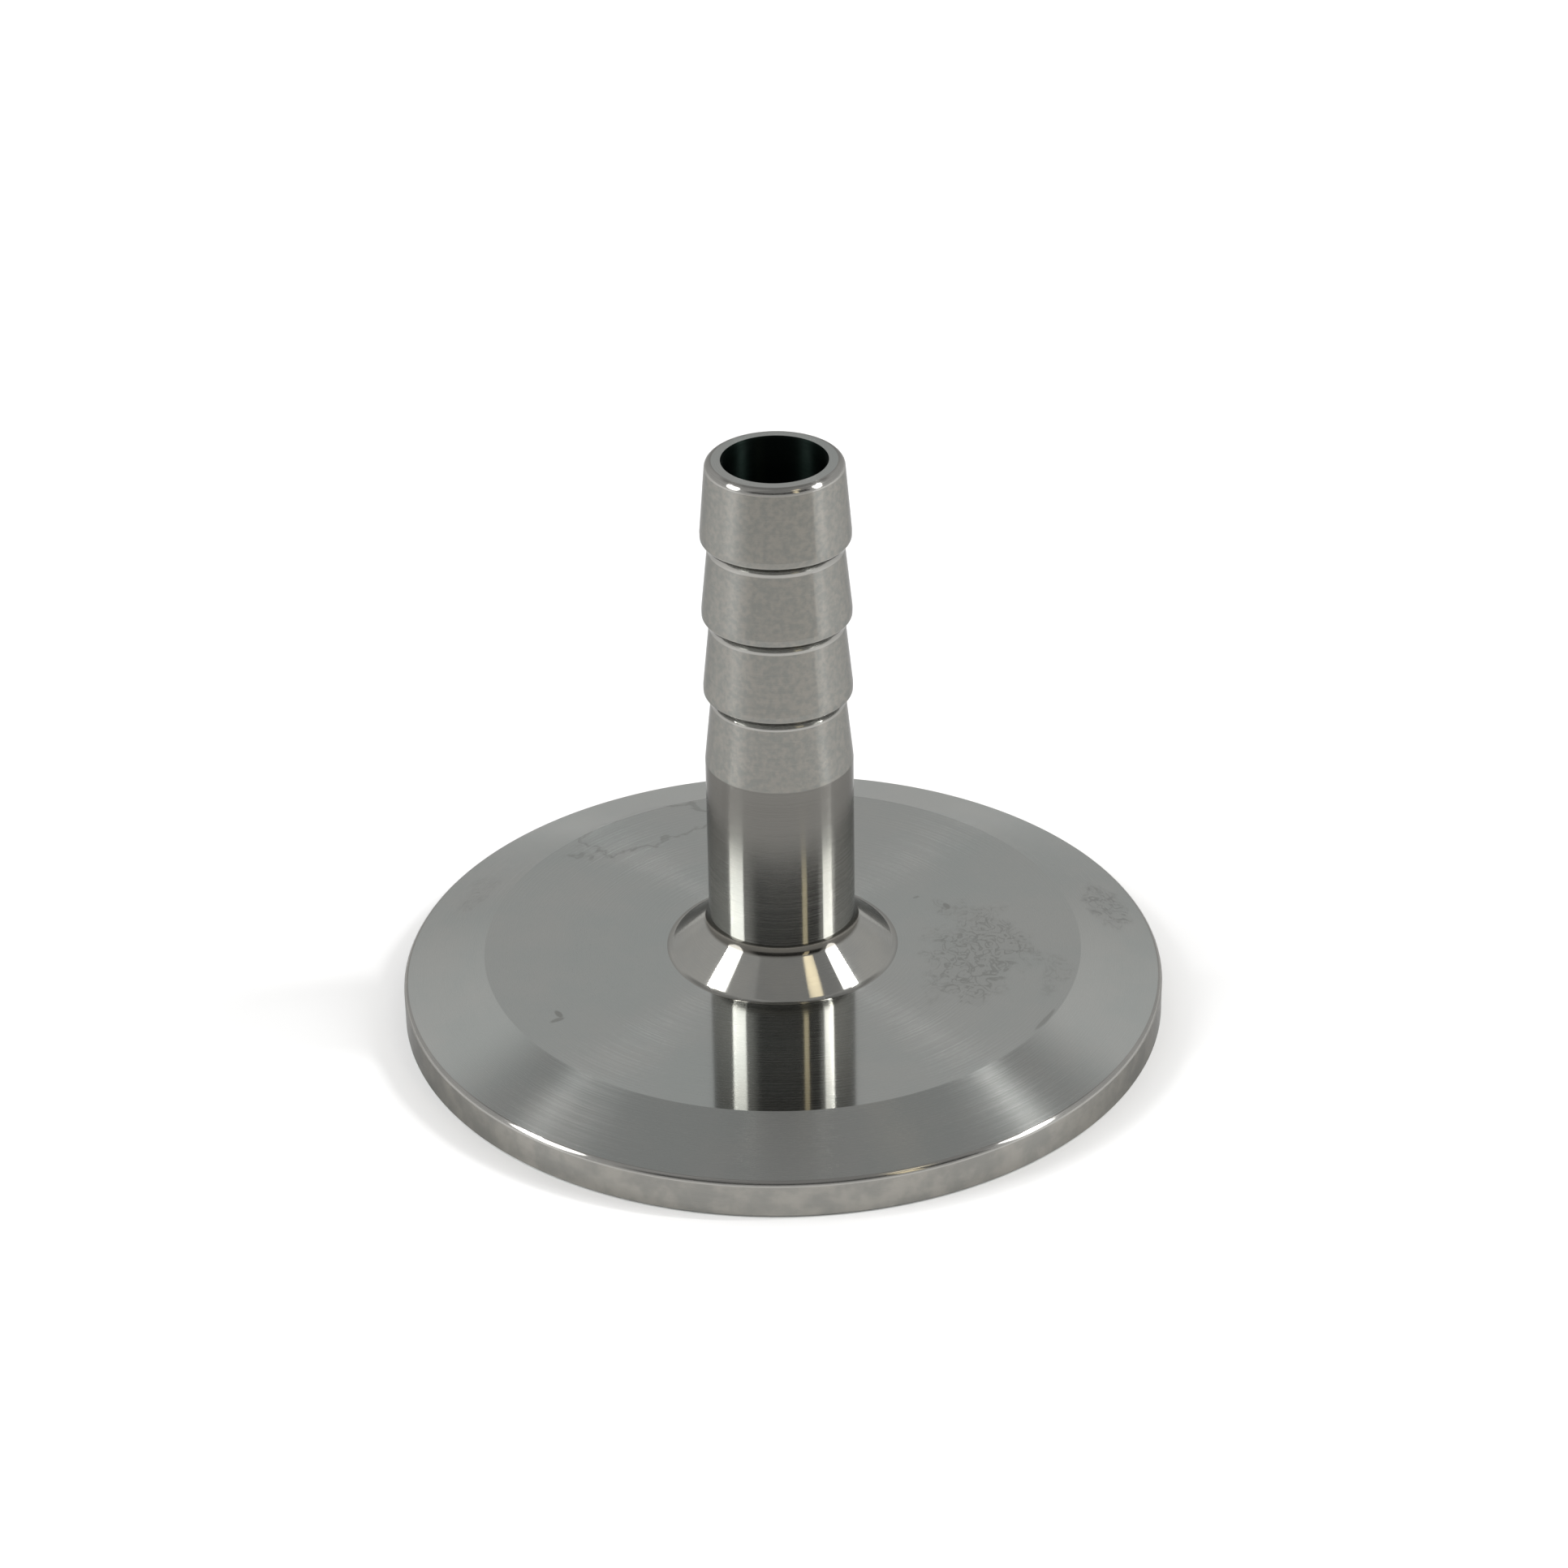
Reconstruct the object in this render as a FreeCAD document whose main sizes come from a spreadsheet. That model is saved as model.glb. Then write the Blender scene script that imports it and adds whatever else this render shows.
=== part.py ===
import FreeCAD, Part
import os

import Sketcher

# A sanitary clamp hose barb: a ferrule turned from one stainless steel bar.
# A flange with a tapered back takes the clamp ring. A cone joins it to a plain stem, which ends in
# a barbed hose tail. A bore runs right through, and the sealing face has a ring groove for a gasket.
# The origin is the centre of the sealing face, and +Z points along the bore towards the hose tail.

# Driving dimensions in millimetres and degrees, with what each one measures.
SIZES = [
    ("flange_dia", 50.5, "outside diameter of the clamp flange"),
    ("rim_height", 2.54, "height of the flange's outer wall"),
    ("taper_angle", 18.0, "slope of the tapered back that the clamp ring grips"),
    ("taper_width", 5.42, "radial width of the tapered back"),
    ("rim_top_round", 0.4, "radius where the rim meets the tapered back"),
    ("rim_edge_break", 0.15, "chamfer where the rim meets the sealing face"),
    ("groove_inset", 3.5, "from the rim in to the centre of the gasket groove"),
    ("groove_floor", 1.75, "width of the gasket groove at its flat bottom"),
    ("groove_depth", 1.6, "depth of the gasket groove"),
    ("groove_wall_angle", 30.0, "lean of the groove's walls from the bore's direction"),
    ("bore_dia", 6.6, "diameter of the through bore"),
    ("bore_break", 0.12, "chamfer at both ends of the bore"),
    ("stem_wall", 1.525, "wall of the plain stem round the bore"),
    ("foot_flare", 2.625, "radial growth of the cone at the foot of the stem"),
    ("foot_rise", 2.3, "height of the cone at the foot of the stem"),
    ("foot_top_fillet", 1.0, "radius between the cone and the stem"),
    ("foot_base_fillet", 0.6, "radius between the cone and the flange"),
    ("plain_length", 12.0, "plain stem from the top of the cone to the first taper"),
    ("barb_notches", 3, "notches cut round the stem, one under each ridge"),
    ("barb_pitch", 5.5, "from one ridge to the next"),
    ("barb_depth", 0.475, "radial depth of a notch at its neck"),
    ("barb_land", 0.4, "narrow cylindrical land at the top of a ridge"),
    ("barb_back", 0.45, "axial length of the steep back face behind a ridge"),
    ("ridge_round", 0.1, "radius between a ridge's land and its back face"),
    ("neck_fillet", 0.8, "radius at the bottom of a notch, as the tool's nose leaves it"),
    ("tip_length", 4.9, "tapered tip above the first ridge"),
    ("tip_drop", 0.41, "how much smaller the tip's radius is than the stem's"),
    ("tip_round", 0.5, "radius round the outside of the tip's end face"),
]
MATCH = 1e-4          # how closely an edge has to match the circle that is looked for
CUTTER_MARGIN = 1.0   # how far a cutting outline reaches past the bar

# Radii and heights that follow from the driving dimensions, as expressions.
RIM_RADIUS = "(Sizes.flange_dia / 2)"
FLAT_RADIUS = f"({RIM_RADIUS} - Sizes.taper_width)"
PLATE_HEIGHT = "(Sizes.rim_height + Sizes.taper_width * tan(Sizes.taper_angle * 1 deg))"
GROOVE_RADIUS = f"({RIM_RADIUS} - Sizes.groove_inset)"
GROOVE_FLARE = "(Sizes.groove_depth * tan(Sizes.groove_wall_angle * 1 deg))"
BORE_RADIUS = "(Sizes.bore_dia / 2)"
STEM_RADIUS = f"({BORE_RADIUS} + Sizes.stem_wall)"
NECK_RADIUS = f"({STEM_RADIUS} - Sizes.barb_depth)"
TIP_RADIUS = f"({STEM_RADIUS} - Sizes.tip_drop)"
FOOT_RADIUS = f"({STEM_RADIUS} + Sizes.foot_flare)"
FOOT_TOP = f"({PLATE_HEIGHT} + Sizes.foot_rise)"
TAIL_START = f"({FOOT_TOP} + Sizes.plain_length)"
TOP_RIDGE = f"({TAIL_START} + Sizes.barb_notches * Sizes.barb_pitch)"
TIP_HEIGHT = f"({TOP_RIDGE} + Sizes.tip_length)"

doc = FreeCAD.newDocument("HoseBarbFerrule")

# Sheet of driving dimensions
sheet = doc.addObject("Spreadsheet::Sheet", "Sizes")
for row, (alias, size, note) in enumerate(SIZES, start=1):
    sheet.set(f"A{row}", alias)
    sheet.set(f"B{row}", str(size))
    sheet.set(f"C{row}", note)
    sheet.setAlias(f"B{row}", alias)
doc.recompute()

body = doc.addObject("PartDesign::Body", "HoseBarb")
body.Label = "hose_barb_ferrule"
origin = {feature.Role: feature for feature in body.Origin.OriginFeatures}


def value(expression):
    """The number that an expression on the sheet gives."""
    return float(sheet.evalExpression(expression))


def new_sketch(name, plane):
    """An empty sketch on one of the body's own planes."""
    sketch = body.newObject("Sketcher::SketchObject", name)
    sketch.AttachmentSupport = [(origin[plane], "")]
    sketch.MapMode = "FlatFace"
    return sketch


def tie_point(sketch, geometry, end, corner):
    """Ties a point of the sketch to its radius and height on the half section."""
    for kind, expression, axis in (("DistanceX", corner[0], -2), ("DistanceY", corner[1], -1)):
        if expression == "0":
            sketch.addConstraint(Sketcher.Constraint("PointOnObject", geometry, end, axis))
        else:
            tie = sketch.addConstraint(
                Sketcher.Constraint(kind, -1, 1, geometry, end, value(expression)))
            sketch.setExpression(f"Constraints[{tie}]", expression)


def half_section(name, corners):
    """A closed outline through (radius, height) corners, drawn on the plane through the axis."""
    sketch = new_sketch(name, "XZ_Plane")
    points = [FreeCAD.Vector(value(radius), value(height), 0) for radius, height in corners]
    for start, end in zip(points, points[1:] + points[:1]):
        sketch.addGeometry(Part.LineSegment(start, end))
    for line, corner in enumerate(corners):
        following = (line + 1) % len(corners)
        sketch.addConstraint(Sketcher.Constraint("Coincident", line, 2, following, 1))
        tie_point(sketch, line, 1, corner)
    return sketch


def round_corner(sketch, line, size):
    """Rounds the corner where a line of the outline starts, and ties the round to its size."""
    arc = sketch.GeometryCount
    sketch.fillet(line, 1, value(f"Sizes.{size}"), True, True)
    tie = sketch.addConstraint(Sketcher.Constraint("Radius", arc, value(f"Sizes.{size}")))
    sketch.setExpression(f"Constraints[{tie}]", f"Sizes.{size}")


def turn(kind, name, section):
    """Adds (Revolution) or cuts (Groove) a section all the way round the axis."""
    feature = body.newObject(f"PartDesign::{kind}", name)
    feature.Profile = section
    feature.ReferenceAxis = (section, ["V_Axis"])
    feature.Angle = 360
    doc.recompute()
    return feature


def circle_edges(shape, circles):
    """The shape's edge names that are the circles given as (radius, height)."""
    names = []
    for radius, height in circles:
        found = [
            f"Edge{number}" for number, edge in enumerate(shape.Edges, start=1)
            if isinstance(edge.Curve, Part.Circle)
            and abs(edge.Curve.Radius - radius) < MATCH
            and abs(edge.Curve.Center.z - height) < MATCH
        ]
        if not found:
            raise RuntimeError(f"no edge of radius {radius:.3f} at height {height:.3f}")
        names += found
    return names


def ease_edges(kind, name, circles, size):
    """Rounds (Fillet) or bevels (Chamfer) circular edges of the body as it is so far."""
    base = body.Tip
    feature = body.newObject(f"PartDesign::{kind}", name)
    feature.Base = (base, circle_edges(base.Shape, circles))
    feature.setExpression("Radius" if kind == "Fillet" else "Size", f"Sizes.{size}")
    doc.recompute()
    return feature


# Flange: a disc whose back slopes down to the rim, with a round where the two meet
rim_corner = (RIM_RADIUS, "Sizes.rim_height")
flange_corners = [
    ("0", "0"),
    (RIM_RADIUS, "0"),
    rim_corner,
    (FLAT_RADIUS, PLATE_HEIGHT),
    ("0", PLATE_HEIGHT),
]
flange_section = half_section("FlangeSection", flange_corners)
round_corner(flange_section, flange_corners.index(rim_corner), "rim_top_round")
turn("Revolution", "Flange", flange_section)

# Stem: the cone at its foot, one bar diameter up to the top ridge, then the tapered tip
turn("Revolution", "Stem", half_section("StemSection", [
    ("0", PLATE_HEIGHT),
    (FOOT_RADIUS, PLATE_HEIGHT),
    (STEM_RADIUS, FOOT_TOP),
    (STEM_RADIUS, TOP_RIDGE),
    (TIP_RADIUS, TIP_HEIGHT),
    ("0", TIP_HEIGHT),
]))

# Barbs: one notch under the top ridge, repeated down the stem.
# The back face drops steeply to the neck, and the next barb's taper climbs back to the bar.
LAND_END = f"({TOP_RIDGE} - Sizes.barb_land)"
NECK_HEIGHT = f"({LAND_END} - Sizes.barb_back)"
NEXT_RIDGE = f"({TOP_RIDGE} - Sizes.barb_pitch)"
OUTSIDE = f"({STEM_RADIUS} + {CUTTER_MARGIN})"
notch = turn("Groove", "BarbNotch", half_section("BarbNotchSection", [
    (STEM_RADIUS, LAND_END),
    (NECK_RADIUS, NECK_HEIGHT),
    (STEM_RADIUS, NEXT_RIDGE),
    (OUTSIDE, NEXT_RIDGE),
    (OUTSIDE, LAND_END),
]))
notches = body.newObject("PartDesign::LinearPattern", "BarbNotches")
notches.Originals = [notch]
notches.Direction = (origin["Z_Axis"], [""])
notches.Reversed = True
notches.Mode = "Spacing"
notches.setExpression("Offset", "Sizes.barb_pitch")
notches.setExpression("Occurrences", "Sizes.barb_notches")
body.Tip = notches
doc.recompute()

# Bore, drilled from the sealing face right through the tip
drill = new_sketch("BoreCircle", "XY_Plane")
drill.addGeometry(Part.Circle(FreeCAD.Vector(0, 0, 0), FreeCAD.Vector(0, 0, 1), value(BORE_RADIUS)))
drill.addConstraint(Sketcher.Constraint("Coincident", 0, 3, -1, 1))
drill.addConstraint(Sketcher.Constraint("Radius", 0, value(BORE_RADIUS)))
drill.setExpression("Constraints[1]", BORE_RADIUS)
solid_volume = body.Shape.Volume
bore = body.newObject("PartDesign::Pocket", "Bore")
bore.Profile = drill
bore.Type = "ThroughAll"
bore.Reversed = True
doc.recompute()

# Gasket groove: a ring with leaning walls and a flat bottom, cut into the sealing face
GROOVE_INSIDE = f"({GROOVE_RADIUS} - Sizes.groove_floor / 2)"
GROOVE_OUTSIDE = f"({GROOVE_RADIUS} + Sizes.groove_floor / 2)"
turn("Groove", "GasketGroove", half_section("GasketGrooveSection", [
    (f"{GROOVE_INSIDE} - {GROOVE_FLARE}", "0"),
    (f"{GROOVE_OUTSIDE} + {GROOVE_FLARE}", "0"),
    (GROOVE_OUTSIDE, "Sizes.groove_depth"),
    (GROOVE_INSIDE, "Sizes.groove_depth"),
]))

# Edges, eased as the turning tool leaves them
top_ridge = value(TOP_RIDGE)
pitch = value("Sizes.barb_pitch")
notch_drops = [count * pitch for count in range(int(value("Sizes.barb_notches")))]
ease_edges("Fillet", "FootTopFillet", [(value(STEM_RADIUS), value(FOOT_TOP))], "foot_top_fillet")
ease_edges("Fillet", "FootBaseFillet", [(value(FOOT_RADIUS), value(PLATE_HEIGHT))], "foot_base_fillet")
ease_edges("Fillet", "NeckFillets",
           [(value(NECK_RADIUS), value(NECK_HEIGHT) - drop) for drop in notch_drops], "neck_fillet")
ease_edges("Fillet", "RidgeRounds",
           [(value(STEM_RADIUS), value(LAND_END) - drop) for drop in notch_drops], "ridge_round")
ease_edges("Fillet", "TipRound", [(value(TIP_RADIUS), value(TIP_HEIGHT))], "tip_round")
ease_edges("Chamfer", "RimEdgeBreak", [(value(RIM_RADIUS), 0.0)], "rim_edge_break")
ease_edges("Chamfer", "BoreBreaks",
           [(value(BORE_RADIUS), 0.0), (value(BORE_RADIUS), value(TIP_HEIGHT))], "bore_break")
doc.recompute()

# Checks before anything is written
for item in doc.Objects:
    if "Invalid" in item.State or "Error" in item.State:
        raise RuntimeError(f"{item.Name} failed: {item.State}")
if body.Shape.isNull() or not body.Shape.isValid() or len(body.Shape.Solids) != 1:
    raise RuntimeError("the ferrule isn't one valid solid")
if bore.Shape.Volume >= solid_volume:
    raise RuntimeError("the bore cut nothing")

os.makedirs("parts", exist_ok=True)
body.Shape.exportStep(os.path.join("parts", f"{body.Label}.step"))

box = body.Shape.optimalBoundingBox(False)
print(f"{body.Label}: {box.XLength:.3f} x {box.YLength:.3f} x {box.ZLength:.3f} mm, "
      f"{body.Shape.Volume:.1f} mm3")
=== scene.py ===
import math

import bmesh
import bpy
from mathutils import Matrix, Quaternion, Vector


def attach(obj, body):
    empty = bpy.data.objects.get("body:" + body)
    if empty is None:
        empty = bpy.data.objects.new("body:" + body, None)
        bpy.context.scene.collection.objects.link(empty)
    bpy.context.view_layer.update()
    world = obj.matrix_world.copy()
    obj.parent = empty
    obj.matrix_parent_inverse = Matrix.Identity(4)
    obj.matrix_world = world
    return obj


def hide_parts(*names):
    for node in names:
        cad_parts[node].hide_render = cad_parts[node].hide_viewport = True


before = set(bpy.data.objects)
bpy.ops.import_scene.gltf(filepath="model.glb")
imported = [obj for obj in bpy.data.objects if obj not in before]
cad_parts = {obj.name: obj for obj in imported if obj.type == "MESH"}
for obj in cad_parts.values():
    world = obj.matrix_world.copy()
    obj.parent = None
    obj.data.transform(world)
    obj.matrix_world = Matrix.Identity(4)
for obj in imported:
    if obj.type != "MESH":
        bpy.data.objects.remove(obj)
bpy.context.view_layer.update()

# Hose barb ferrule: the whole fitting, turned from one stainless steel bar.
# It is spun from its half section, sharp as the turning tool cuts it, and then its rounds are
# rolled on as they are on the real one. The sizes are those of the frame's own solid.
bore_radius = 0.0033
stem_radius = 0.004825
rim_radius = 0.02525
rim_height = 0.00254
taper_width = 0.00542
taper_slope = math.radians(18.0)
flat_radius = rim_radius - taper_width
plate_height = rim_height + taper_width * math.tan(taper_slope)
foot_spread = 0.002625
foot_rise = 0.0023
foot_radius = stem_radius + foot_spread
foot_top = plate_height + foot_rise
plain_length = 0.012
tail_start = foot_top + plain_length
barb_pitch = 0.0055
barbs = 3
barb_depth = 0.000475
barb_land = 0.0004
barb_back = 0.00045
top_ridge = tail_start + barbs * barb_pitch
tip_taper = 0.00041
tip_length = 0.0049
tip_radius = stem_radius - tip_taper
tip_height = top_ridge + tip_length
rim_break = 0.00015
bore_break = 0.00012
groove_inset = 0.0035
groove_circle = rim_radius - groove_inset
groove_floor_width = 0.00175
groove_depth = 0.0016
groove_wall_slope = math.radians(30.0)
groove_inner = groove_circle - groove_floor_width / 2
groove_outer = groove_circle + groove_floor_width / 2
groove_flare = groove_depth * math.tan(groove_wall_slope)
rim_round = 0.0004
foot_fillet = 0.0006
stem_fillet = 0.001
notch_fillet = 0.0008
ridge_round = 0.0001
tip_round = 0.0005
spin_steps = 360
circular = 0.5
same_place = 2e-6

half_section = [
    (bore_radius + bore_break, 0.0),
    (groove_inner - groove_flare, 0.0),
    (groove_inner, groove_depth),
    (groove_outer, groove_depth),
    (groove_outer + groove_flare, 0.0),
    (rim_radius - rim_break, 0.0),
    (rim_radius, rim_break),
    (rim_radius, rim_height),
    (flat_radius, plate_height),
    (foot_radius, plate_height),
    (stem_radius, foot_top),
    (stem_radius, tail_start),
]
# Each round is rolled on one corner. A row has that corner's radius and height, then the round's
# own radius and its steps.
rounds = [
    (rim_radius, rim_height, rim_round, 14),
    (foot_radius, plate_height, foot_fillet, 10),
    (stem_radius, foot_top, stem_fillet, 12),
]
for count in range(barbs):
    neck = tail_start + (count + 1) * barb_pitch - barb_land - barb_back
    half_section += [
        (stem_radius - barb_depth, neck),
        (stem_radius, neck + barb_back),
        (stem_radius, neck + barb_back + barb_land),
    ]
    rounds += [
        (stem_radius - barb_depth, neck, notch_fillet, 12),
        (stem_radius, neck + barb_back, ridge_round, 6),
    ]
half_section += [
    (tip_radius, tip_height),
    (bore_radius + bore_break, tip_height),
    (bore_radius, tip_height - bore_break),
    (bore_radius, bore_break),
]
rounds.append((tip_radius, tip_height, tip_round, 16))


def radius_of(point):
    """Distance of a point from the bore's axis."""
    return math.hypot(point.x, point.y)


def ring(mesh, radius, height):
    """The edges of the circle with that radius and height."""
    return [
        edge for edge in mesh.edges
        if all(abs(radius_of(v.co) - radius) < same_place and abs(v.co.z - height) < same_place
               for v in edge.verts)
    ]


def turn_between(before, corner, after):
    """How far the outline turns at a corner, in radians."""
    incoming = Vector(corner) - Vector(before)
    outgoing = Vector(after) - Vector(corner)
    return incoming.angle(outgoing)


blank = bmesh.new()
corners = [blank.verts.new((radius, 0.0, height)) for radius, height in half_section]
outline = [blank.edges.new(pair) for pair in zip(corners, corners[1:] + corners[:1])]
bmesh.ops.spin(blank, geom=corners + outline, cent=(0, 0, 0), axis=(0, 0, 1), angle=math.tau,
               steps=spin_steps, use_merge=True)
bmesh.ops.recalc_face_normals(blank, faces=blank.faces)

rounded_rings = [(radius, height) for radius, height, *_ in rounds]
for radius, height in half_section:
    if (radius, height) not in rounded_rings:
        for edge in ring(blank, radius, height):
            edge.smooth = False
for radius, height, size, segments in rounds:
    place = half_section.index((radius, height))
    turn = turn_between(half_section[place - 1], (radius, height), half_section[place + 1])
    bmesh.ops.bevel(blank, geom=ring(blank, radius, height), offset=size * math.tan(turn / 2),
                    offset_type="OFFSET", segments=segments, profile=circular, affect="EDGES",
                    material=-1)

# Each face takes the finish that its tool left: turned, polished, satin or drilled; the drilled
# bore's near-black grey is painted shade.
# A barb's taper is told from its steps by how far its faces look up.
(flat_finish, taper_finish, rim_finish, foot_finish,
 stem_finish, barb_finish, step_finish, bore_finish) = range(8)
rim_round_reach = 0.0003
stem_fillet_reach = 0.00046
foot_end = foot_top + stem_fillet_reach
gentle_rise = 0.07
steep_rise = 0.11
blank.normal_update()


def finish_of(centre, rise):
    """Which finish a face has, from its middle and from how far it faces up."""
    radius = radius_of(centre)
    # The bore and its chamfers take the near-black bore steel, which is painted shade.
    if radius < bore_radius + bore_break:
        return bore_finish
    if centre.z > tip_height - same_place:
        return flat_finish
    if centre.z > tail_start:
        on_land = radius > stem_radius - same_place and abs(rise) < gentle_rise
        return barb_finish if on_land or gentle_rise < rise < steep_rise else step_finish
    if centre.z > foot_end:
        return stem_finish
    if radius > rim_radius - same_place and centre.z < rim_height:
        return rim_finish
    if radius > rim_radius - rim_round_reach and rise > 0:
        return step_finish
    if radius > flat_radius and rise > 0:
        return taper_finish
    if radius < foot_radius + rim_round_reach and centre.z > plate_height - same_place:
        return foot_finish
    return flat_finish


for face in blank.faces:
    face.smooth = True
    face.material_index = finish_of(face.calc_center_median(), face.normal.z)

ferrule_mesh = bpy.data.meshes.new("turned_ferrule")
blank.to_mesh(ferrule_mesh)
blank.free()
ferrule = bpy.data.objects.new("turned_ferrule", ferrule_mesh)
bpy.context.scene.collection.objects.link(ferrule)
shading = ferrule.modifiers.new("flats_stay_flat", "WEIGHTED_NORMAL")
shading.keep_sharp = True


def node(tree, kind, settings=None, **inputs):
    """Adds a node, sets what it is told, and links or fills its inputs by name."""
    made = tree.nodes.new(kind)
    for name, setting in (settings or {}).items():
        setattr(made, name, setting)
    for name, value in inputs.items():
        socket = made.inputs[name.replace("_", " ")]
        if isinstance(value, bpy.types.NodeSocket):
            tree.links.new(value, socket)
        else:
            socket.default_value = value
    return made


def maths(tree, operation, first, second=0.0):
    """One arithmetic step on numbers or sockets."""
    made = tree.nodes.new("ShaderNodeMath")
    made.operation = operation
    for socket, value in zip(made.inputs, (first, second)):
        if isinstance(value, bpy.types.NodeSocket):
            tree.links.new(value, socket)
        else:
            socket.default_value = value
    return made.outputs[0]


def between(tree, value, start, end, low, high):
    """A smooth step from low to high as the value goes from start to end."""
    step = node(tree, "ShaderNodeMapRange", {"interpolation_type": "SMOOTHSTEP"}, Value=value,
                From_Min=start, From_Max=end, To_Min=low, To_Max=high)
    return step.outputs["Result"]


def mix(tree, kind, factor, first, second):
    """A number (FLOAT) or a colour (RGBA) between two others, which are values or sockets."""
    made = node(tree, "ShaderNodeMix", {"data_type": kind}, Factor=factor, A=first, B=second)
    return made.outputs["Result"]


def slant(tree, first, second):
    """The length of the line that has these two numbers as its sides."""
    return maths(tree, "SQRT", maths(tree, "ADD", maths(tree, "MULTIPLY", first, first),
                                     maths(tree, "MULTIPLY", second, second)))


def bearing_of(tree, sides):
    """The angle round the axis in degrees: 0 is the camera's side, 90 the right."""
    return maths(tree, "DEGREES", maths(
        tree, "ARCTAN2", sides.outputs["X"], maths(tree, "MULTIPLY", sides.outputs["Y"], -1.0)))


def new_group(name, inputs, outputs):
    """An empty shader node group with float or vector sockets, and its two end nodes."""
    group = bpy.data.node_groups.new(name, "ShaderNodeTree")
    for in_out, sockets in (("INPUT", inputs), ("OUTPUT", outputs)):
        for socket, kind in sockets:
            group.interface.new_socket(socket, in_out=in_out, socket_type=f"NodeSocket{kind}")
    return group, group.nodes.new("NodeGroupInput"), group.nodes.new("NodeGroupOutput")


# The tool leaves fine rings round the axis, some smooth, some torn. They are finer than a picture
# shows, so they look like a brushed sheen, with a hint of broader bands.
noise_middle = 0.5
broad_ring_scale = 0.07
broad_ring_share = 0.05
torn_blend = 0.04
turning_marks, marks_in, marks_out = new_group(
    "turning_marks",
    [("Place", "Vector"), ("Rings per Metre", "Float"), ("Smooth", "Float"), ("Torn", "Float"),
     ("Torn Above", "Float")],
    [("Roughness", "Float")])
flat_place = node(turning_marks, "ShaderNodeVectorMath", {"operation": "MULTIPLY"})
turning_marks.links.new(marks_in.outputs["Place"], flat_place.inputs[0])
flat_place.inputs[1].default_value = (1, 1, 0)
from_axis = node(turning_marks, "ShaderNodeVectorMath", {"operation": "LENGTH"})
turning_marks.links.new(flat_place.outputs[0], from_axis.inputs[0])
place_parts = node(turning_marks, "ShaderNodeSeparateXYZ", Vector=marks_in.outputs["Place"])
along = maths(turning_marks, "SUBTRACT", from_axis.outputs["Value"], place_parts.outputs["Z"])
ring_count = maths(turning_marks, "MULTIPLY", along, marks_in.outputs["Rings per Metre"])
fine_rings = node(turning_marks, "ShaderNodeTexNoise", {"noise_dimensions": "1D"},
                  W=ring_count, Scale=1.0, Detail=1.0)
broad_rings = node(turning_marks, "ShaderNodeTexNoise", {"noise_dimensions": "1D"},
                   W=ring_count, Scale=broad_ring_scale, Detail=2.0)
broad_part = maths(turning_marks, "MULTIPLY", maths(
    turning_marks, "SUBTRACT", broad_rings.outputs["Fac"], noise_middle), broad_ring_share)
ring_level = maths(turning_marks, "ADD", fine_rings.outputs["Fac"], broad_part)
torn = node(turning_marks, "ShaderNodeMapRange", Value=ring_level,
            From_Min=maths(turning_marks, "SUBTRACT", marks_in.outputs["Torn Above"], torn_blend),
            From_Max=maths(turning_marks, "ADD", marks_in.outputs["Torn Above"], torn_blend),
            To_Min=marks_in.outputs["Smooth"], To_Max=marks_in.outputs["Torn"])
turning_marks.links.new(torn.outputs["Result"], marks_out.inputs["Roughness"])


# Handling has left a fingerprint, some smudges, small nicks and the outline of a dried drop.
# Each mark has a bearing and its half width in degrees, a distance from the axis and its half width
# in metres, how ragged its edge is, and how strongly it shows.
crinkled_marks = [
    (82, 29, 0.0130, 0.0038, 2.2, 0.75),
    (104, 7, 0.0225, 0.0017, 2.6, 0.85),
    (74, 9, 0.0185, 0.0012, 2.6, 0.35),
    (-112, 8, 0.0222, 0.0012, 2.4, 0.35),
]
solid_marks = [
    (-60.5, 1.9, 0.0168, 0.00022, 1.2, 0.9),
    (-58.6, 0.7, 0.0172, 0.0006, 1.2, 0.8),
    (111, 2.0, 0.0119, 0.0002, 1.8, 0.8),
    (121, 0.8, 0.0106, 0.0003, 1.8, 0.6),
    (60, 4.0, 0.0196, 0.00016, 1.6, 0.6),
    (-2.5, 0.8, 0.0112, 0.00015, 1.0, 0.7),
]
dried_drop = (-148, 17, 0.0178, 0.0022, 1.6)
crinkled_edge, solid_edge = (0.55, 1.1), (0.6, 1.1)
ragged_per_metre, crinkles_per_metre = 420.0, 950.0
crinkle_fade = (0.01, 0.07)
between_crinkles = 0.2
drop_line_width = 0.08
drop_line_strength = 0.6
marks_from, marks_all = 0.0018, 0.0022
handling_marks, handled_in, handled_out = new_group(
    "handling_marks", [("Place", "Vector")], [("Smudge", "Float")])
sides = node(handling_marks, "ShaderNodeSeparateXYZ", Vector=handled_in.outputs["Place"])
bearing = bearing_of(handling_marks, sides)
reach = slant(handling_marks, sides.outputs["X"], sides.outputs["Y"])
ragged = node(handling_marks, "ShaderNodeTexNoise", Vector=handled_in.outputs["Place"],
              Scale=ragged_per_metre, Detail=4.0, Roughness=0.6)
crinkles = node(handling_marks, "ShaderNodeTexNoise", Vector=handled_in.outputs["Place"],
                Scale=crinkles_per_metre, Detail=1.0, Distortion=1.6)
off_crest = maths(handling_marks, "ABSOLUTE", maths(
    handling_marks, "SUBTRACT", crinkles.outputs["Fac"], noise_middle))
crinkle_lines = between(handling_marks, off_crest, *crinkle_fade, 1.0, between_crinkles)


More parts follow.
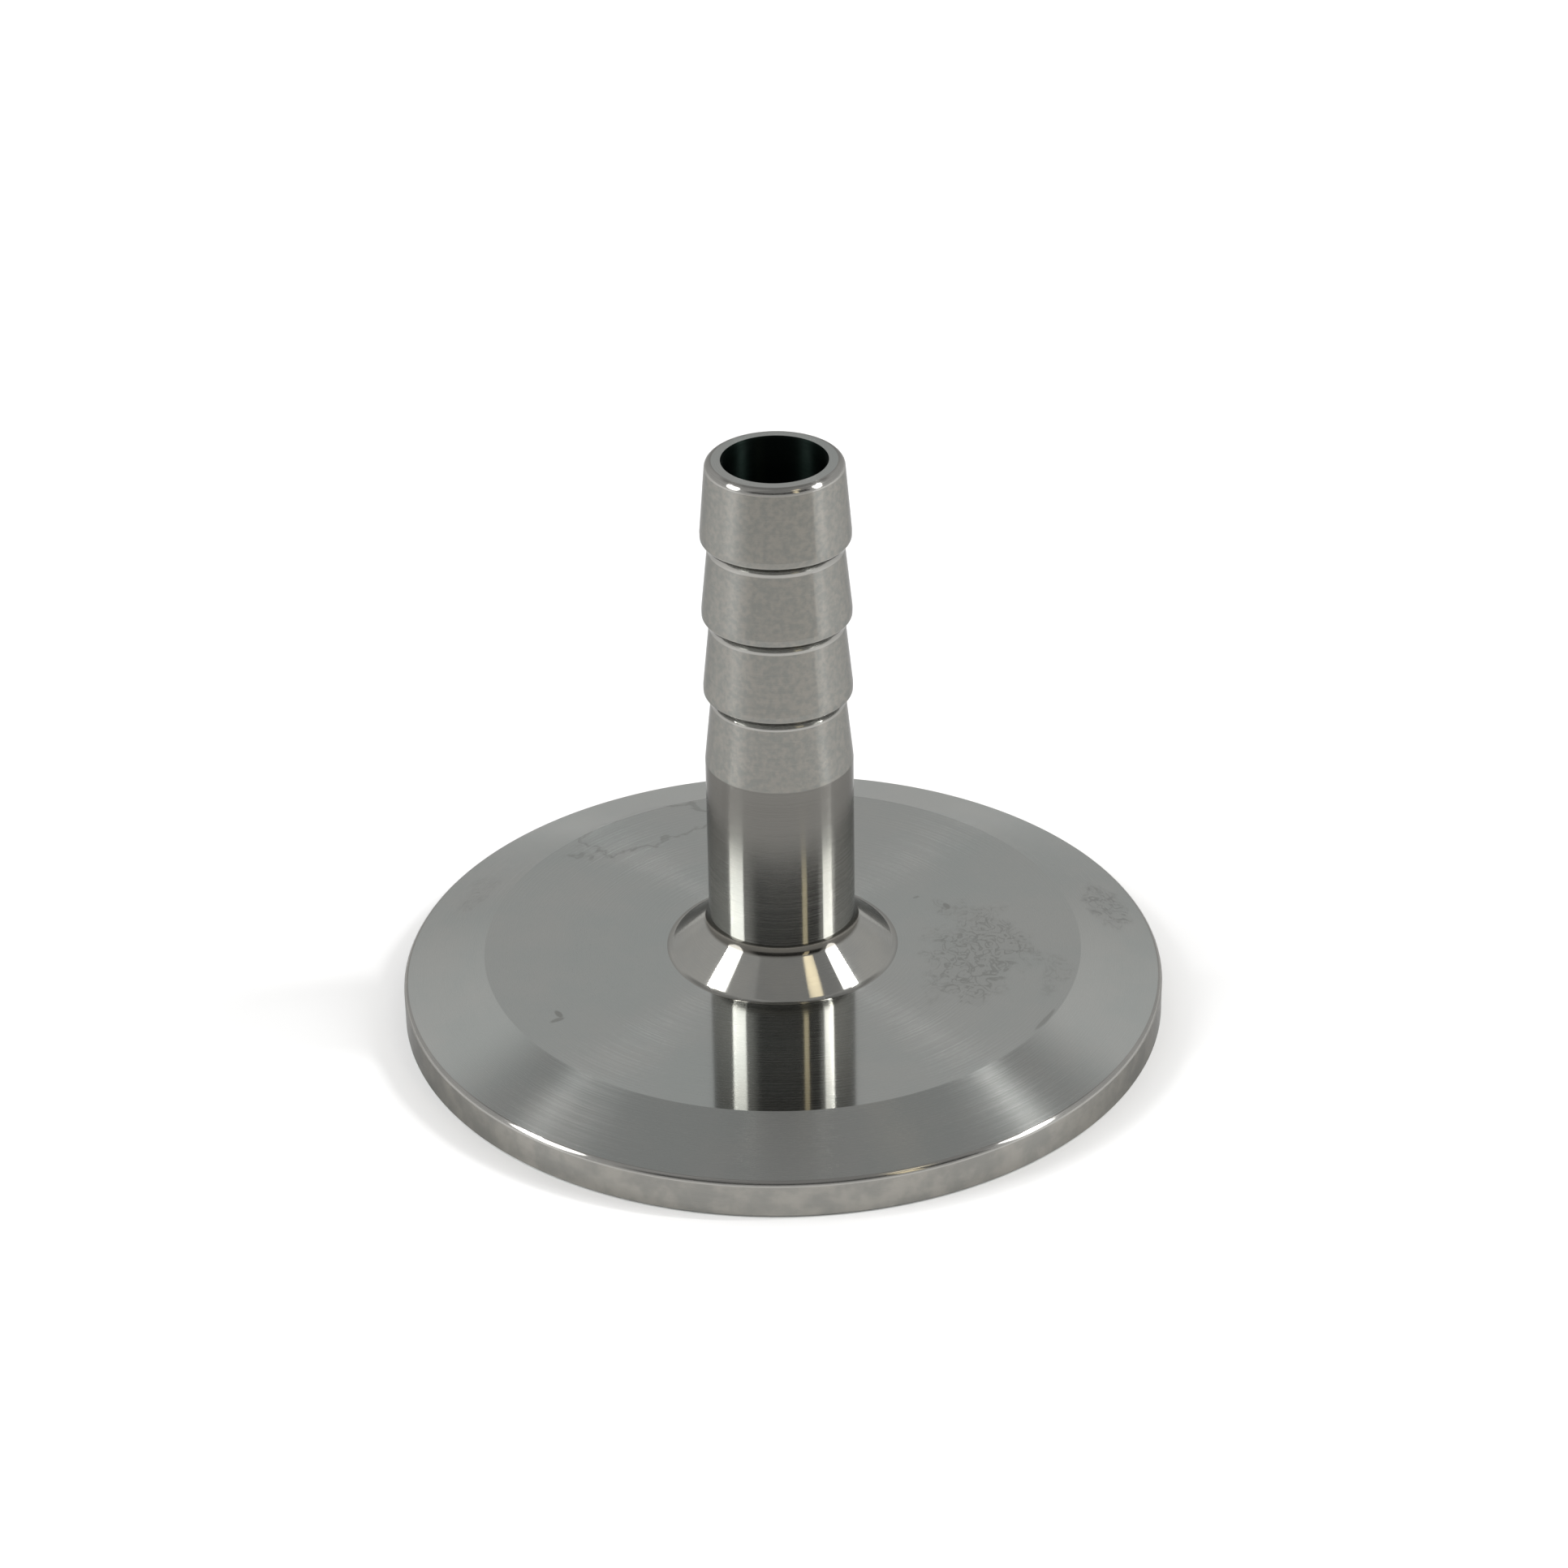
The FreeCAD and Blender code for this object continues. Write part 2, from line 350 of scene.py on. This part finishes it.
def from_mark(middle_bearing, half_bearing, middle_reach, half_reach, raggedness):
    """How far a place is from the middle of a mark: 1 is the mark's edge."""
    along_ring = maths(handling_marks, "DIVIDE", maths(
        handling_marks, "SUBTRACT", bearing, middle_bearing), half_bearing)
    outwards = maths(handling_marks, "DIVIDE", maths(
        handling_marks, "SUBTRACT", reach, middle_reach), half_reach)
    waver = maths(handling_marks, "MULTIPLY", maths(
        handling_marks, "SUBTRACT", ragged.outputs["Fac"], noise_middle), raggedness)
    return maths(handling_marks, "ADD", slant(handling_marks, along_ring, outwards), waver)


smudge = 0.0
for *place_of_mark, strength in crinkled_marks:
    inside = between(handling_marks, from_mark(*place_of_mark), *crinkled_edge, strength, 0.0)
    crinkled = maths(handling_marks, "MULTIPLY", inside, crinkle_lines)
    smudge = maths(handling_marks, "MAXIMUM", smudge, crinkled)
for *place_of_mark, strength in solid_marks:
    inside = between(handling_marks, from_mark(*place_of_mark), *solid_edge, strength, 0.0)
    smudge = maths(handling_marks, "MAXIMUM", smudge, inside)
off_drop_edge = maths(handling_marks, "ABSOLUTE", maths(
    handling_marks, "SUBTRACT", from_mark(*dried_drop), 1.0))
drop_line = between(handling_marks, off_drop_edge, 0.0, drop_line_width, drop_line_strength, 0.0)
smudge = maths(handling_marks, "MAXIMUM", smudge, drop_line)
upper_side = between(handling_marks, sides.outputs["Z"], marks_from, marks_all, 0.0, 1.0)
smudge = maths(handling_marks, "MULTIPLY", smudge, upper_side)
handling_marks.links.new(smudge, handled_out.inputs["Smudge"])


grazing_tint = (0.55, 0.55, 0.55, 1.0)
grooves_run_across = 0.25
patch_blend = (0.35, 0.65)
fine_rings_per_metre = 200000
drill_rings_per_metre = 3000


def steel(name, grey, warm, patches_per_metre, smooth, torn, torn_above,
          rings_per_metre=fine_rings_per_metre):
    """Turned stainless steel: fine grooves run round the axis, and its grey varies in patches.

    Smooth and torn are the roughnesses of its two kinds of ring, and torn_above is the level of the
    rings' noise from which they are torn.
    """
    material = bpy.data.materials.new(name)
    material.use_nodes = True
    tree = material.node_tree
    shader = tree.nodes["Principled BSDF"]
    shader.inputs["Metallic"].default_value = 1.0
    shader.inputs["Specular Tint"].default_value = grazing_tint
    shader.inputs["Anisotropic"].default_value = 1.0
    shader.inputs["Anisotropic Rotation"].default_value = grooves_run_across
    place = node(tree, "ShaderNodeTexCoord").outputs["Object"]
    marks = node(tree, "ShaderNodeGroup", {"node_tree": turning_marks}, Place=place,
                 Rings_per_Metre=rings_per_metre, Smooth=smooth, Torn=torn, Torn_Above=torn_above)
    tree.links.new(marks.outputs["Roughness"], shader.inputs["Roughness"])
    patches = node(tree, "ShaderNodeTexNoise", Vector=place, Scale=patches_per_metre, Detail=4.0,
                   Roughness=0.6)
    tint = mix(tree, "RGBA", between(tree, patches.outputs["Fac"], *patch_blend, 0.0, 1.0),
               (*grey, 1.0), (*warm, 1.0))
    tree.links.new(tint, shader.inputs["Base Color"])
    round_the_axis = node(tree, "ShaderNodeVectorMath", {"operation": "CROSS_PRODUCT"})
    tree.links.new(place, round_the_axis.inputs[0])
    round_the_axis.inputs[1].default_value = (0, 0, 1)
    tree.links.new(round_the_axis.outputs[0], shader.inputs["Tangent"])
    return material


def marks_or_painted_shade(material, colour, span=None):
    """Mixes a darker grey into a steel: painted shade over a span of heights, or else its real
    handling marks.
    """
    tree = material.node_tree
    base = tree.nodes["Principled BSDF"].inputs["Base Color"]
    place = node(tree, "ShaderNodeTexCoord").outputs["Object"]
    if span:
        # Over a span of heights the darker grey is painted shade.
        height = node(tree, "ShaderNodeSeparateXYZ", Vector=place).outputs["Z"]
        mask = between(tree, height, *span, 0.0, 1.0)
    else:
        handled = node(tree, "ShaderNodeGroup", {"node_tree": handling_marks}, Place=place)
        mask = handled.outputs["Smudge"]
    blend = mix(tree, "RGBA", mask, base.links[0].from_socket, (*colour, 1.0))
    tree.links.new(blend, base)
    return material


# Each steel has its grey and its warmer grey, then its patches per metre and the three numbers of
# its rings. The fillet on the foot is painted darker, a painted shade of the dark reflection in
# that crease, and the stem is painted darker towards the barbs, a painted shade of the darker
# reflection there.
painted_fillet_shade = (0.00626, 0.00646)
painted_stem_shade = (0.0085, 0.0178)
finishes = [
    marks_or_painted_shade(steel("fine_turned_flat", (0.487, 0.509, 0.490), (0.514, 0.522, 0.500),
                 120, 0.08, 0.42, 0.70), (0.34, 0.345, 0.325)),
    marks_or_painted_shade(steel("turned_taper", (0.468, 0.486, 0.467), (0.494, 0.501, 0.479),
                 160, 0.17, 0.46, 0.73), (0.34, 0.345, 0.33)),
    # Rim wall: its warm patches are its own tone; its grey is set darker than the flat's, a painted
    # shade of the floor it reflects.
    steel("rim_wall", (0.250, 0.247, 0.231), (0.318, 0.308, 0.282), 520, 0.18, 0.40, 0.66),
    # Polished foot: its fillet is painted darker, as painted shade.
    marks_or_painted_shade(steel("polished_foot", (0.365, 0.364, 0.344), (0.398, 0.392, 0.364),
                 300, 0.08, 0.35, 0.68), (0.155, 0.148, 0.132), painted_fillet_shade),
    # Polished stem: painted darker towards the barbs, as painted shade.
    marks_or_painted_shade(steel("polished_stem", (0.385, 0.380, 0.361), (0.415, 0.406, 0.381),
                 400, 0.12, 0.42, 0.67), (0.178, 0.173, 0.161), painted_stem_shade),
    # Satin barbs: the satin is real; their grey is set darker than the other steels', a painted
    # shade of the darker floor they reflect.
    steel("satin_barbs", (0.240, 0.244, 0.230), (0.294, 0.284, 0.261), 2600, 0.19, 0.31, 0.68),
    steel("polished_steps", (0.355, 0.350, 0.332), (0.378, 0.371, 0.350), 400, 0.10, 0.34, 0.62),
    # Drilled bore: its near-black grey is painted shade of the deep, unlit bore.
    steel("drilled_bore_painted_shade", (0.007, 0.012, 0.010), (0.010, 0.015, 0.013), 400, 0.45, 0.60, 0.50,
          drill_rings_per_metre),
]
for finish in finishes:
    ferrule_mesh.materials.append(finish)
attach(ferrule, "root")
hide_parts("hose_barb_ferrule")

# Floor: a plain white table top, far wider than the view. Before the camera, just outside the
# picture, a grey patch of painted shade lies on it, and the barbs reflect it.
floor_radius = 4.0
painted_shade_left = (-66, -36)
painted_shade_right = (59, 61)
painted_shade_near_edge = (0.070, 0.082)
table_white, painted_shade_grey = (0.88, 0.88, 0.88, 1), (0.62, 0.61, 0.59, 1)
floor_mesh = bpy.data.meshes.new("floor")
table_top = bmesh.new()
bmesh.ops.create_circle(table_top, cap_ends=True, segments=96, radius=floor_radius)
table_top.to_mesh(floor_mesh)
table_top.free()
floor = bpy.data.objects.new("floor", floor_mesh)
bpy.context.scene.collection.objects.link(floor)
white_top = bpy.data.materials.new("white_top")
white_top.use_nodes = True
top_nodes = white_top.node_tree
top_shader = top_nodes.nodes["Principled BSDF"]
top_shader.inputs["Roughness"].default_value = 0.75
top_shader.inputs["Specular IOR Level"].default_value = 0.15
top_place = node(top_nodes, "ShaderNodeSeparateXYZ",
                 Vector=node(top_nodes, "ShaderNodeTexCoord").outputs["Object"])
top_bearing = bearing_of(top_nodes, top_place)
top_reach = slant(top_nodes, top_place.outputs["X"], top_place.outputs["Y"])
# The grey patch before the camera is painted shade.
painted_shade = maths(top_nodes, "MULTIPLY", between(top_nodes, top_bearing, *painted_shade_left, 0.0, 1.0), maths(
    top_nodes, "MULTIPLY", between(top_nodes, top_bearing, *painted_shade_right, 1.0, 0.0),
    between(top_nodes, top_reach, *painted_shade_near_edge, 0.0, 1.0)))
top_colour = mix(top_nodes, "RGBA", painted_shade, table_white, painted_shade_grey)
top_nodes.links.new(top_colour, top_shader.inputs["Base Color"])
floor_mesh.materials.append(white_top)


# Lamps: a softbox and a narrow bulb on either side of the object, and a warm window in two parts.
# They are flat and face the object from one metre away.
def towards(azimuth, elevation, distance):
    """The point in that direction from the object: azimuth 0 is the camera's side, 90 the right."""
    a, e = math.radians(azimuth), math.radians(elevation)
    return Vector((math.sin(a) * math.cos(e), -math.cos(a) * math.cos(e), math.sin(e))) * distance


lamp_distance = 1.0
aim = Vector((0, 0, 0.012))


def area_lamp(name, azimuth, elevation, width, height, radiance, colour=(1, 1, 1), roll=0.0,
              shape="ELLIPSE"):
    """A flat lamp that faces the object, rolled by some degrees. Its radiance sets its power."""
    lamp = bpy.data.lights.new(name, "AREA")
    lamp.shape = shape
    lamp.size, lamp.size_y = width, height
    face = width * height * (math.pi / 4 if shape == "ELLIPSE" else 1.0)
    lamp.energy = radiance * face * math.pi
    lamp.color = colour
    holder = bpy.data.objects.new(name, lamp)
    holder.location = aim + towards(azimuth, elevation, lamp_distance)
    holder.rotation_mode = "QUATERNION"
    facing = (aim - holder.location).to_track_quat("-Z", "Y")
    holder.rotation_quaternion = facing @ Quaternion((0, 0, 1), math.radians(roll))
    bpy.context.scene.collection.objects.link(holder)
    return holder


window_colour = (1.0, 0.86, 0.58)
area_lamp("left_softbox", -76, 32, 0.38, 0.80, 4.9, roll=20)
area_lamp("right_softbox", 77.5, 32, 0.26, 0.80, 4.9, roll=-18)
area_lamp("left_bulb", -95, 45, 0.04, 0.24, 38.0, roll=16)
area_lamp("right_bulb", 93, 45, 0.04, 0.24, 105.0, roll=-16)
area_lamp("warm_lamp", 49.5, 59, 0.16, 0.15, 2.1, window_colour, shape="RECTANGLE")
area_lamp("warm_wall", 36.5, 35, 0.115, 0.36, 1.75, window_colour, shape="RECTANGLE")

# World: a pale room, its lit walls beside the object, and a dark zone on the camera's side.
# A matt surface sees it brighter than steel does, which keeps the floor white.
far_level, side_level, near_level, horizon_level = 0.53, 0.68, 0.075, 0.80
far_overhead_level, side_overhead_level, near_overhead_level = 0.34, 0.55, 0.40
diffuse_share = 1.7
side_to_far = (152, 172)
side_to_far_overhead = (100, 135)
horizon_to_wall = (4, 14)
wall_to_ceiling = (38, 50)
dark_wall_left, dark_wall_right, dark_wall_foot = (-60, -36), (58, 64), (18, 24)
dim_ceiling_left, dim_ceiling_right = (-46, -42), (80, 100)
world = bpy.data.worlds.new("pale_room")
bpy.context.scene.world = world
world.use_nodes = True
sky = world.node_tree
direction = node(sky, "ShaderNodeTexCoord")
part = node(sky, "ShaderNodeSeparateXYZ", Vector=direction.outputs["Generated"])
height = maths(sky, "DEGREES", maths(sky, "ARCSINE", part.outputs["Z"]))
round_about = bearing_of(sky, part)
off_camera = maths(sky, "ABSOLUTE", round_about)

walls = mix(sky, "FLOAT", between(sky, off_camera, *side_to_far, 0.0, 1.0),
            side_level, far_level)
walls = mix(sky, "FLOAT", between(sky, height, *horizon_to_wall, 1.0, 0.0),
            walls, horizon_level)
dark_wall = maths(sky, "MULTIPLY", between(sky, round_about, *dark_wall_left, 0.0, 1.0),
                  between(sky, round_about, *dark_wall_right, 1.0, 0.0))
dark_wall = maths(sky, "MULTIPLY", dark_wall, between(sky, height, *dark_wall_foot, 0.0, 1.0))
walls = mix(sky, "FLOAT", dark_wall, walls, near_level)
dim_ceiling = maths(sky, "MULTIPLY", between(sky, round_about, *dim_ceiling_left, 0.0, 1.0),
                    between(sky, round_about, *dim_ceiling_right, 1.0, 0.0))
overhead = mix(sky, "FLOAT", between(sky, off_camera, *side_to_far_overhead, 0.0, 1.0),
               side_overhead_level, far_overhead_level)
ceiling = mix(sky, "FLOAT", dim_ceiling, overhead, near_overhead_level)
room = mix(sky, "FLOAT", between(sky, height, *wall_to_ceiling, 0.0, 1.0), walls, ceiling)
rays = node(sky, "ShaderNodeLightPath")
background = sky.nodes["Background"]
sky.links.new(room, background.inputs["Color"])
strength = mix(sky, "FLOAT", rays.outputs["Is Diffuse Ray"], 1.0, diffuse_share)
sky.links.new(strength, background.inputs["Strength"])

# Camera: a long lens, close to the object and above it, turned a little about its own axis.
# Its place, lens and turn were fitted to the outline in the photograph.
camera_data = bpy.data.cameras.new("camera")
camera_data.sensor_width = 36.0
camera_data.lens = 101.4
camera = bpy.data.objects.new("camera", camera_data)
camera.location = (0.0, -0.2489, 0.16125)
camera_roll = math.radians(-0.924)
camera_aim = Vector((0.00027, 0.0, 0.0165))
camera.rotation_mode = "QUATERNION"
camera.rotation_quaternion = (
    (camera_aim - camera.location).to_track_quat("-Z", "Y") @ Quaternion((0, 0, 1), camera_roll))
bpy.context.scene.collection.objects.link(camera)
bpy.context.scene.camera = camera
bpy.context.scene.view_settings.view_transform = "Standard"
